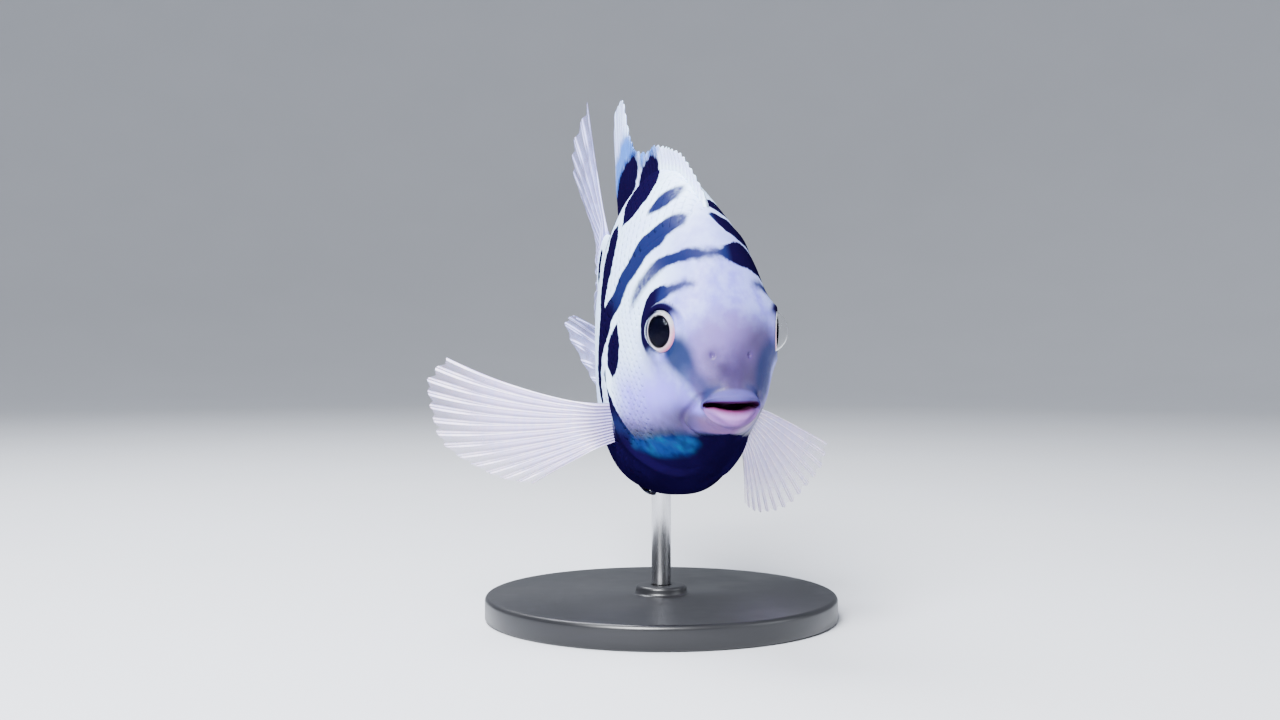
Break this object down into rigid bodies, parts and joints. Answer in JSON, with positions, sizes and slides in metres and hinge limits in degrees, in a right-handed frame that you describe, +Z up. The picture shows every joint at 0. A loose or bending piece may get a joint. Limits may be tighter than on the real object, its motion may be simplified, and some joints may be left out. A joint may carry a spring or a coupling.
{
  "type": "polar blue parrot cichlid",
  "caption": "Short-bodied striped aquarium fish in a head-down swimming pose, as a life-size still model on a round display stand.",
  "frame": {"origin": "middle of the underside of the stand's base", "axes": "+Z up, the fish faces -Y and its left side is +X"},
  "size_m": [0.0712, 0.0966, 0.0909],
  "materials": {
    "fish_skin": "satin",
    "fin_web": "satin",
    "eye": "gloss",
    "stand_base": "satin",
    "stand_rod": "brushed"
  },
  "bodies": {
    "root": {"head": "fish_skin", "torso": "fish_skin", "tail_stem": "fish_skin", "dorsal_fin": "fin_web", "anal_fin": "fin_web", "caudal_fin": "fin_web", "pectoral_fin_right": "fin_web", "pectoral_fin_left": "fin_web", "pelvic_fin_right": "fin_web", "pelvic_fin_left": "fin_web", "eye_left": "eye", "eye_right": "eye", "stand_base": "stand_base", "stand_rod": "stand_rod"}
  },
  "joints": []
}
